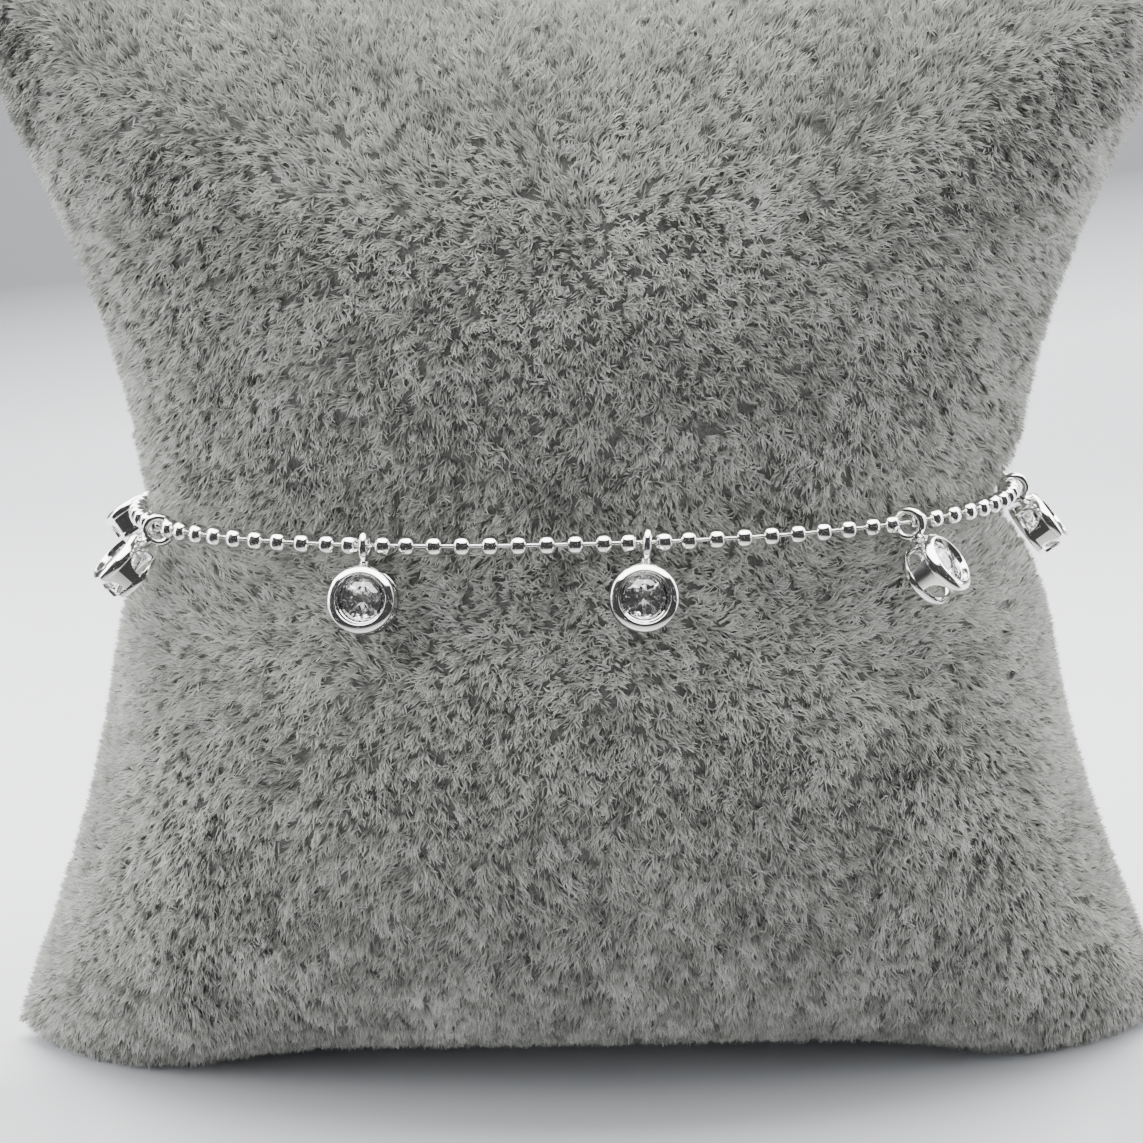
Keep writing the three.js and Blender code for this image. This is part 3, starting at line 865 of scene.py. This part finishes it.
def clothGrid():
    # front and back sheets that share their rim of points
    columns, rows = pillow["columns"], pillow["rows"]
    u, v = np.meshgrid(np.linspace(-1, 1, columns + 1), np.linspace(-1, 1, rows + 1))
    s = np.sin(math.pi / 2 * u)
    t = signedPower(np.sin(math.pi / 2 * v), 1.4)
    front, back = clothPoint(s, t, -1.0), clothPoint(s, t, 1.0)
    index = np.arange((rows + 1) * (columns + 1)).reshape(rows + 1, columns + 1)
    rim = np.ones_like(index, bool)
    rim[1:-1, 1:-1] = False
    backIndex = np.where(rim, index, index.size + np.cumsum(~rim).reshape(index.shape) - 1)
    points = np.concatenate([front.reshape(-1, 3), back[~rim]])
    points[index[rim].ravel(), 1] = 0
    quads = []
    for grid, flip in ((index, False), (backIndex, True)):
        a, b, c, d = grid[:-1, :-1], grid[:-1, 1:], grid[1:, 1:], grid[1:, :-1]
        order = (a, d, c, b) if flip else (a, b, c, d)
        quads.append(np.stack([corner.ravel() for corner in order], -1))
    return shape(points, np.concatenate(quads))


def faceNormals(corners):
    # as long as twice each quad's area
    return np.cross(corners[:, 2] - corners[:, 0], corners[:, 3] - corners[:, 1])


def pointNormals(part):
    total = np.zeros_like(part["points"])
    normals = faceNormals(part["points"][part["quads"]])
    for k in range(4):
        np.add.at(total, part["quads"][:, k], normals)
    return unit(total)


def cupView(points, where):
    # points as a cup has them: across, up and ahead of it, and how far they lie from its axis
    local = (points - where[:3, 3]) @ where[:3, :3]
    return local, np.hypot(local[:, 0], local[:, 1] + hanger["toAxis"])


def clothShape():
    part = clothGrid()
    points, normals = part["points"], pointNormals(part)
    sunk = points - normals * pillow["pileDepth"]
    thin = np.abs(points[:, 1])
    sunk[:, 1] = np.sign(points[:, 1]) * np.maximum(np.abs(sunk[:, 1]) * (sunk[:, 1] * points[:, 1] > 0), 0.3 * thin)
    for where in dropPlaces:
        local, across = cupView(sunk, where)
        dent = hanger["behindRim"] - bezel["depth"] - cupDent["behind"]
        dent = dent + cupDent["slope"] * np.maximum(across - cupDent["flatTo"], 0) ** 2
        near = (across < cupDent["across"]) & (local[:, 2] > dent) & (local[:, 2] < cupDent["ahead"])
        over = np.where(near, local[:, 2] - dent, 0)
        sunk = sunk - over[:, None] * where[:3, 2]
    sunk[:, 2] = np.maximum(sunk[:, 2], pillow["clothFoot"])
    return {**part, "points": sunk}


plumping = {
    "pressure": 9.0, "frames": 20, "scale": 10.0, "stiffness": 8.0, "bending": 0.4, "most": 0.9,
    "chainHold": 4.0, "dropHold": 5.0, "soleHold": 2.2, "pinnedFrom": 0.6,
}


def heldShare(points):
    # 1 where the chain, the drops and the table hold the cloth, and 0 a few millimetres away
    level = chainLevel(points[:, 0], points[:, 1])
    held = np.exp(-(((points[:, 2] - level) / plumping["chainHold"]) ** 2))
    held = np.maximum(held, np.clip(plumping["soleHold"] - points[:, 2], 0, 1))
    for where in dropPlaces:
        middle = where[:3, 3] - where[:3, 1] * hanger["toAxis"]
        away = np.linalg.norm(points - middle, axis=1)
        held = np.maximum(held, np.exp(-((away / plumping["dropHold"]) ** 4)))
    return held


def plumped(part):
    # the filling presses the cloth out in a short run of Cloth, of which only small moves are kept
    points, size = part["points"], plumping["scale"] * mm
    mesh = bpy.data.meshes.new("plumping")
    mesh.from_pydata((points * size).tolist(), [], part["quads"].tolist())
    trial = addObject("plumping", mesh)
    held = heldShare(points)
    pinned = np.nonzero(held > plumping["pinnedFrom"])[0].tolist()
    trial.vertex_groups.new(name="held").add(pinned, 1.0, "REPLACE")
    soft = trial.modifiers.new("Cloth", "CLOTH").settings
    soft.use_pressure = True
    soft.uniform_pressure_force = plumping["pressure"]
    soft.vertex_group_mass = "held"
    soft.effector_weights.gravity = 0
    soft.tension_stiffness = soft.compression_stiffness = plumping["stiffness"]
    soft.bending_stiffness = plumping["bending"]
    for step in range(1, plumping["frames"] + 1):
        scene.frame_set(step)
    pressed = trial.evaluated_get(bpy.context.evaluated_depsgraph_get()).data
    settled = np.empty(len(points) * 3, np.float32)
    pressed.vertices.foreach_get("co", settled)
    scene.frame_set(1)
    bpy.data.objects.remove(trial)
    bpy.data.meshes.remove(mesh)
    move = settled.reshape(-1, 3).astype(float) / size - points
    far = np.maximum(np.linalg.norm(move, axis=1, keepdims=True), 1e-6)
    kept = points + move / far * plumping["most"] * np.tanh(far / plumping["most"]) * (1 - held)[:, None]
    kept[:, 2] = np.maximum(kept[:, 2], np.minimum(points[:, 2], pillow["clothFoot"]))
    print("cloth plumped, moves of", round(float(np.linalg.norm(kept - points, axis=1).max()), 2), "mm at most")
    return {**part, "points": kept}


cloth = plumped(clothShape())
pillowCloth = makePiece("pillowCloth", cloth, shadedPlushBacking, "plush", ["pillow"], sharp=80)
print("cloth sewn,", len(cloth["points"]), "points")


# sizes in millimetres, angles in degrees; each fibre lies at its lean from upright, and its length and width vary
pile = {
    "fibres": 700000, "pieces": 7, "perTuft": 8, "tuftRadius": 0.22, "length": 0.88, "width": 0.17,
    "lengthSpread": 0.13, "widthSpread": 0.2, "lean": 42, "leanSpread": 8, "leanRange": (4, 68), "twist": 14,
    "topTurn": 150, "partingWander": 14, "swirl": 42, "swirlSize": 7.0, "curl": 0.8, "curlSize": 2.2,
    "tuftTurn": 32, "stray": 26, "gather": 0.12, "tableHeight": 0.05, "seed": 11,
}
# 0 is the darkest tone and 1 the palest; the darker roots, the paler tops and sides and the darker undersides are
# painted light and shade
pileTones = {
    "root": 0.37, "rootShare": 0.66, "tip": 0.73, "fibreSpread": 0.09, "tuftSpread": 0.13, "clumps": 0.3,
    "clumpSize": 1.0, "most": 0.42, "clouds": 0.14, "cloudSize": 3.1, "topPaintedLight": 0.29, "sidePaintedLight": 0.27,
    "underPaintedShade": 0.12,
}
# how the fibres keep clear of the beads and the cups
clearance = {"bead": 0.62, "beadTop": 0.5, "beadSlope": 0.75, "above": 2.6, "out": 5, "press": 0.9, "cup": 0.06}


def smoothNoise(points, size, seed):
    # value noise from -1 to 1 on a grid of the given size, in millimetres
    spot = points / size + 100
    base = np.floor(spot).astype(np.int64)
    part = spot - base
    part = part * part * (3 - 2 * part)
    total = np.zeros(len(points))
    for corner in np.ndindex(2, 2, 2):
        cell = base + corner
        mixed = cell[:, 0] * 73856093 ^ cell[:, 1] * 19349663 ^ cell[:, 2] * 83492791 ^ seed * 2654435761
        value = ((mixed * 1103515245 + 12345) >> 8 & 0xFFFF) / 32767.5 - 1
        total += value * np.prod(np.where(corner, part, 1 - part), axis=1)
    return total


def turnAbout(vectors, axes, angle):
    c, s = np.cos(angle)[:, None], np.sin(angle)[:, None]
    return vectors * c + np.cross(axes, vectors) * s + axes * np.sum(axes * vectors, 1, keepdims=True) * (1 - c)


def tuftSpots(random, count):
    # tufts spread evenly over the cloth by area
    quads = cloth["quads"]
    corners = cloth["points"][quads]
    total = np.cumsum(np.linalg.norm(faceNormals(corners), axis=1) / 2)
    wanted = (np.arange(count) + random.random(count)) / count * total[-1]
    quad = np.searchsorted(total, wanted)
    fu, fv = random.random((2, count, 1))
    weights = [(1 - fu) * (1 - fv), fu * (1 - fv), fu * fv, (1 - fu) * fv]
    normals = pointNormals(cloth)[quads[quad]]
    spots = sum(corners[quad, k] * weights[k] for k in range(4))
    return spots, unit(sum(normals[:, k] * weights[k] for k in range(4)))


def clearOfSilver(points, roots):
    # fibres lie behind the beads, and are pressed flat or pushed aside round each cup
    angle = np.arctan2((points[:, 0] - loop["centreX"]) / loop["halfWidth"], -points[:, 1] / loop["halfDepth"])
    power = loop["squareness"] / 2
    core = planPoint(np.arctan2(signedPower(np.sin(angle), power), signedPower(np.cos(angle), power)))
    outward = unit(core - np.array([loop["centreX"], 0, 0]) - np.array([0, 0, 1]) * core[:, 2:])
    away = points - core
    out, up = np.sum(away * outward, 1), away[:, 2]
    limit = -clearance["bead"] + clearance["beadSlope"] * np.maximum(np.abs(up) - clearance["beadTop"], 0)
    near = (np.abs(up) < clearance["above"]) & (np.abs(out) < clearance["out"])
    points = points - outward * (np.where(near, np.maximum(out - limit, 0), 0) * clearance["press"])[:, None]
    cupRadius = bezel["radius"] + clearance["cup"]
    backZ = hanger["behindRim"] - bezel["depth"] - clearance["cup"]
    for where in dropPlaces:
        (local, across), rootAcross = cupView(points, where), cupView(roots, where)[1]
        inside = (across < cupRadius) & (local[:, 2] > backZ) & (local[:, 2] < 8)
        behind = inside & (rootAcross < bezel["radius"])
        local[:, 2] = np.where(behind, backZ, local[:, 2])
        push = np.where(inside & ~behind, cupRadius / np.maximum(across, 0.05), 1)
        local[:, 0] *= push
        local[:, 1] = (local[:, 1] + hanger["toAxis"]) * push - hanger["toAxis"]
        points = local @ where[:3, :3].T + where[:3, 3]
    return points


def growPile():
    # each fibre is one slim triangle: two corners at its root and one at its tip
    random = np.random.default_rng(pile["seed"])
    tufts = pile["fibres"] // pile["perTuft"]
    spots, normals = tuftSpots(random, tufts)
    down = np.array([0.0, 0.0, -1.0]) + 0.25 * normals * np.sign(normals[:, 1:2]) * (0, 1, 0)
    lean = unit(down - normals * np.sum(down * normals, 1, keepdims=True))
    turn = smoothNoise(spots, pile["swirlSize"], 3) * pile["swirl"]
    turn = turn + smoothNoise(spots, pile["curlSize"], 5) * pile["swirl"] * pile["curl"]
    rising = np.clip(normals[:, 2] * 2.2 + 0.1, 0, 1)  # 0 where the cloth hangs, 1 where it faces up
    side = np.sign(spots[:, 0] + pile["partingWander"] * smoothNoise(spots, 16.0, 31))
    turn = turn + random.normal(0, pile["tuftTurn"], tufts)
    turn = turn + side * pile["topTurn"] * rising * rising * (3 - 2 * rising)
    lean = turnAbout(lean, normals, np.radians(turn))
    across = np.cross(normals, lean)
    tones = pileTones
    tuftToneAndLight = random.normal(0, tones["tuftSpread"], tufts)
    tuftToneAndLight = tuftToneAndLight + tones["clumps"] * smoothNoise(spots, tones["clumpSize"], 9)
    tuftToneAndLight = np.clip(tuftToneAndLight, -tones["most"], tones["most"])
    tuftToneAndLight += tones["clouds"] * smoothNoise(spots, tones["cloudSize"], 21)
    # painted light: paler where the cloth faces up and where it faces sideways; painted shade: darker where it faces
    # down
    tuftToneAndLight += tones["topPaintedLight"] * rising + tones["sidePaintedLight"] * np.clip(np.abs(normals[:, 0]) * 1.6 - 0.4, 0, 1)
    tuftToneAndLight -= tones["underPaintedShade"] * np.clip(-normals[:, 2] * 1.8, 0, 1)
    spread = pile["leanSpread"]
    tuftLean = pile["lean"] + random.normal(0, spread, tufts) + spread * smoothNoise(spots, 1.3, 13)

    every = np.repeat(np.arange(tufts), pile["perTuft"])
    count = len(every)
    reach = pile["tuftRadius"] * np.sqrt(-2 * np.log(1 - 0.95 * random.random(count))) * 0.8
    around = random.random(count) * 2 * math.pi
    offset = lean[every] * (reach * np.cos(around))[:, None] + across[every] * (reach * np.sin(around))[:, None]
    normal, stray = normals[every], np.radians(random.normal(0, pile["stray"], count))
    sweep = turnAbout(lean[every], normal, stray)
    length = pile["length"] * np.clip(random.normal(1, pile["lengthSpread"], count), 0.6, 1.3)
    tilt = np.radians(np.clip(tuftLean[every] + random.normal(0, spread, count), *pile["leanRange"]))
    root = spots[every] + offset
    growth = normal * np.cos(tilt)[:, None] + sweep * np.sin(tilt)[:, None]
    tip = root + growth * length[:, None] - offset * pile["gather"]
    sideways = unit(np.cross(unit(tip - root), normal))
    sideways = turnAbout(sideways, unit(tip - root), np.radians(random.normal(0, pile["twist"], count)))
    half = (pile["width"] * np.clip(random.normal(1, pile["widthSpread"], count), 0.5, 1.6) / 2)[:, None]
    corners = np.stack([root - sideways * half, root + sideways * half, tip], 1)
    for k in range(3):
        corners[:, k] = clearOfSilver(corners[:, k], root)
    corners[:, :, 2] = np.maximum(corners[:, :, 2], pile["tableHeight"])
    fibreToneAndLight = tuftToneAndLight[every] + random.normal(0, tones["fibreSpread"], count)
    # roots darker than tips: painted shade among the fibres
    shadedRootTone = tones["root"] + tones["rootShare"] * fibreToneAndLight
    cornerTones = np.stack([shadedRootTone, shadedRootTone, tones["tip"] + fibreToneAndLight], 1)
    return corners, np.clip(cornerTones, 0.02, 1), random.permutation(count)


def makePile():
    corners, tones, order = growPile()
    for number in range(pile["pieces"]):
        chosen = order[number::pile["pieces"]]
        count = len(chosen)
        part = shape(corners[chosen], (), np.arange(count * 3))
        piece = makePiece(f"pileLayer{number + 1}", part, plushPile, "plush", smooth=False)
        mesh = piece.data
        tone = mesh.attributes.new("tone", "FLOAT", "POINT")
        tone.data.foreach_set("value", tones[chosen].astype(np.float32).ravel())
        # one small tile of the map for each fibre
        tiles = math.ceil(math.sqrt(count))
        corner = np.stack([np.arange(count) % tiles, np.arange(count) // tiles], -1)[:, None, :]
        spots = np.array([(0.06, 0.06), (0.94, 0.06), (0.5, 0.94)])
        layer = mesh.uv_layers.new(name="OFBake")
        layer.data.foreach_set("uv", ((corner + spots) / tiles).astype(np.float32).ravel())
        piece.parent = pillowCloth
    print("pile grown,", len(corners), "fibres")


makePile()
